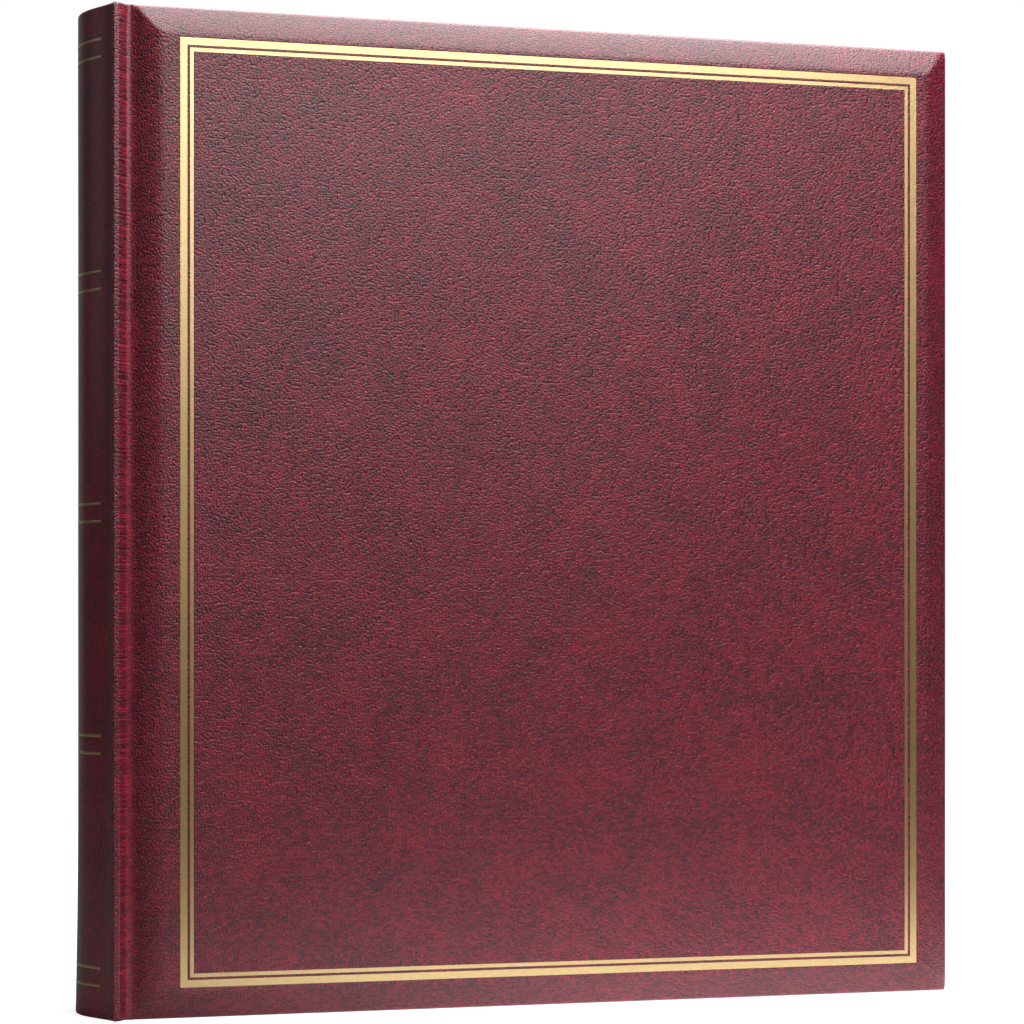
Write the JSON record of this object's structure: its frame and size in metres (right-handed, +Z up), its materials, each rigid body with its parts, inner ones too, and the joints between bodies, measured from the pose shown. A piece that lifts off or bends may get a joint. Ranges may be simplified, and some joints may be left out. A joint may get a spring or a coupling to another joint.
{
  "type": "stamp album",
  "caption": "Padded case-bound stamp album with rounded spine, hinged covers, gold double-rule frame and black card leaves with pocket strips.",
  "frame": {"origin": "centre of the bounding box's foot, on the surface that the album stands on", "axes": "+Z up along the spine from tail to head, -X to the spine, +X to the fore edge, -Y out of the front cover, +Y out of the back cover"},
  "size_m": [0.2952, 0.05, 0.32],
  "materials": {
    "cover_leatherette": "satin",
    "spine_leatherette": "satin",
    "gold_foil": "satin",
    "greyboard": "matte",
    "foam": "matte",
    "endpaper": "matte",
    "kraft_paper": "matte",
    "gauze": "matte",
    "guard_linen": "matte",
    "band_cloth": "satin",
    "black_card": "matte",
    "glassine": "satin"
  },
  "bodies": {
    "binding": {"spine_leather": "spine_leatherette", "spine_card": "greyboard", "spine_gold_rules": "gold_foil", "spine_lining": "kraft_paper", "spine_mull": "gauze", "guard_block": "guard_linen", "head_band": "band_cloth", "tail_band": "band_cloth", "front_joint": "cover_leatherette", "back_joint": "cover_leatherette"},
    "front_cover": {"front_cover_leather": "cover_leatherette", "front_padding": "foam", "front_board": "greyboard", "front_pastedown": "endpaper", "front_gold_rule_wide": "gold_foil", "front_gold_rule_thin": "gold_foil"},
    "back_cover": {"back_cover_leather": "cover_leatherette", "back_padding": "foam", "back_board": "greyboard", "back_pastedown": "endpaper"},
    "front_flyleaf": {"front_flyleaf": "endpaper"},
    "back_flyleaf": {"back_flyleaf": "endpaper"},
    "leaf_01": {"leaf_01": "black_card", "pockets_01": "glassine"},
    "leaf_02": {"leaf_02": "black_card", "pockets_02": "glassine"},
    "leaf_03": {"leaf_03": "black_card", "pockets_03": "glassine"},
    "leaf_04": {"leaf_04": "black_card", "pockets_04": "glassine"},
    "leaf_05": {"leaf_05": "black_card", "pockets_05": "glassine"},
    "leaf_06": {"leaf_06": "black_card", "pockets_06": "glassine"},
    "leaf_07": {"leaf_07": "black_card", "pockets_07": "glassine"},
    "leaf_08": {"leaf_08": "black_card", "pockets_08": "glassine"},
    "leaf_09": {"leaf_09": "black_card", "pockets_09": "glassine"},
    "leaf_10": {"leaf_10": "black_card", "pockets_10": "glassine"},
    "leaf_11": {"leaf_11": "black_card", "pockets_11": "glassine"},
    "leaf_12": {"leaf_12": "black_card", "pockets_12": "glassine"},
    "leaf_13": {"leaf_13": "black_card", "pockets_13": "glassine"},
    "leaf_14": {"leaf_14": "black_card", "pockets_14": "glassine"},
    "leaf_15": {"leaf_15": "black_card", "pockets_15": "glassine"},
    "leaf_16": {"leaf_16": "black_card", "pockets_16": "glassine"}
  },
  "joints": [
    {"name": "front_cover_hinge", "type": "hinge", "parent": "binding", "child": "front_cover", "pos_m": [-0.136, -0.0207, 0.16], "axis": [0, 0, -1], "range_deg": [0, 100], "deforming": ["front_joint"]},
    {"name": "back_cover_hinge", "type": "hinge", "parent": "binding", "child": "back_cover", "pos_m": [-0.136, 0.0207, 0.16], "axis": [0, 0, 1], "range_deg": [0, 100], "deforming": ["back_joint"]},
    {"name": "front_flyleaf_hinge", "type": "hinge", "parent": "binding", "child": "front_flyleaf", "pos_m": [-0.13265, -0.0165, 0.16], "axis": [0, 0, -1], "range_deg": [0, 85.5]},
    {"name": "back_flyleaf_hinge", "type": "hinge", "parent": "binding", "child": "back_flyleaf", "pos_m": [-0.13265, 0.0165, 0.16], "axis": [0, 0, 1], "range_deg": [0, 85.5]},
    {"name": "leaf_01_hinge", "type": "hinge", "parent": "binding", "child": "leaf_01", "pos_m": [-0.13265, -0.015, 0.16], "axis": [0, 0, -1], "range_deg": [0, 72.5]},
    {"name": "leaf_02_hinge", "type": "hinge", "parent": "binding", "child": "leaf_02", "pos_m": [-0.13265, -0.013, 0.16], "axis": [0, 0, -1], "range_deg": [0, 63.5]},
    {"name": "leaf_03_hinge", "type": "hinge", "parent": "binding", "child": "leaf_03", "pos_m": [-0.13265, -0.011, 0.16], "axis": [0, 0, -1], "range_deg": [0, 54.5]},
    {"name": "leaf_04_hinge", "type": "hinge", "parent": "binding", "child": "leaf_04", "pos_m": [-0.13265, -0.009, 0.16], "axis": [0, 0, -1], "range_deg": [0, 45.5]},
    {"name": "leaf_05_hinge", "type": "hinge", "parent": "binding", "child": "leaf_05", "pos_m": [-0.13265, -0.007, 0.16], "axis": [0, 0, -1], "range_deg": [0, 36.5]},
    {"name": "leaf_06_hinge", "type": "hinge", "parent": "binding", "child": "leaf_06", "pos_m": [-0.13265, -0.005, 0.16], "axis": [0, 0, -1], "range_deg": [0, 27.5]},
    {"name": "leaf_07_hinge", "type": "hinge", "parent": "binding", "child": "leaf_07", "pos_m": [-0.13265, -0.003, 0.16], "axis": [0, 0, -1], "range_deg": [0, 18.5]},
    {"name": "leaf_08_hinge", "type": "hinge", "parent": "binding", "child": "leaf_08", "pos_m": [-0.13265, -0.001, 0.16], "axis": [0, 0, -1], "range_deg": [0, 9.5]},
    {"name": "leaf_09_hinge", "type": "hinge", "parent": "binding", "child": "leaf_09", "pos_m": [-0.13265, 0.001, 0.16], "axis": [0, 0, 1], "range_deg": [0, 9.5]},
    {"name": "leaf_10_hinge", "type": "hinge", "parent": "binding", "child": "leaf_10", "pos_m": [-0.13265, 0.003, 0.16], "axis": [0, 0, 1], "range_deg": [0, 18.5]},
    {"name": "leaf_11_hinge", "type": "hinge", "parent": "binding", "child": "leaf_11", "pos_m": [-0.13265, 0.005, 0.16], "axis": [0, 0, 1], "range_deg": [0, 27.5]},
    {"name": "leaf_12_hinge", "type": "hinge", "parent": "binding", "child": "leaf_12", "pos_m": [-0.13265, 0.007, 0.16], "axis": [0, 0, 1], "range_deg": [0, 36.5]},
    {"name": "leaf_13_hinge", "type": "hinge", "parent": "binding", "child": "leaf_13", "pos_m": [-0.13265, 0.009, 0.16], "axis": [0, 0, 1], "range_deg": [0, 45.5]},
    {"name": "leaf_14_hinge", "type": "hinge", "parent": "binding", "child": "leaf_14", "pos_m": [-0.13265, 0.011, 0.16], "axis": [0, 0, 1], "range_deg": [0, 54.5]},
    {"name": "leaf_15_hinge", "type": "hinge", "parent": "binding", "child": "leaf_15", "pos_m": [-0.13265, 0.013, 0.16], "axis": [0, 0, 1], "range_deg": [0, 63.5]},
    {"name": "leaf_16_hinge", "type": "hinge", "parent": "binding", "child": "leaf_16", "pos_m": [-0.13265, 0.015, 0.16], "axis": [0, 0, 1], "range_deg": [0, 72.5]}
  ],
  "couplings": [
    {"joint": "front_flyleaf_hinge", "follows": "front_cover_hinge", "ratio": 0.85},
    {"joint": "back_flyleaf_hinge", "follows": "back_cover_hinge", "ratio": 0.85},
    {"joint": "leaf_01_hinge", "follows": "front_cover_hinge", "ratio": 0.72},
    {"joint": "leaf_02_hinge", "follows": "front_cover_hinge", "ratio": 0.63},
    {"joint": "leaf_03_hinge", "follows": "front_cover_hinge", "ratio": 0.54},
    {"joint": "leaf_04_hinge", "follows": "front_cover_hinge", "ratio": 0.45},
    {"joint": "leaf_05_hinge", "follows": "front_cover_hinge", "ratio": 0.36},
    {"joint": "leaf_06_hinge", "follows": "front_cover_hinge", "ratio": 0.27},
    {"joint": "leaf_07_hinge", "follows": "front_cover_hinge", "ratio": 0.18},
    {"joint": "leaf_08_hinge", "follows": "front_cover_hinge", "ratio": 0.09},
    {"joint": "leaf_09_hinge", "follows": "back_cover_hinge", "ratio": 0.09},
    {"joint": "leaf_10_hinge", "follows": "back_cover_hinge", "ratio": 0.18},
    {"joint": "leaf_11_hinge", "follows": "back_cover_hinge", "ratio": 0.27},
    {"joint": "leaf_12_hinge", "follows": "back_cover_hinge", "ratio": 0.36},
    {"joint": "leaf_13_hinge", "follows": "back_cover_hinge", "ratio": 0.45},
    {"joint": "leaf_14_hinge", "follows": "back_cover_hinge", "ratio": 0.54},
    {"joint": "leaf_15_hinge", "follows": "back_cover_hinge", "ratio": 0.63},
    {"joint": "leaf_16_hinge", "follows": "back_cover_hinge", "ratio": 0.72}
  ]
}
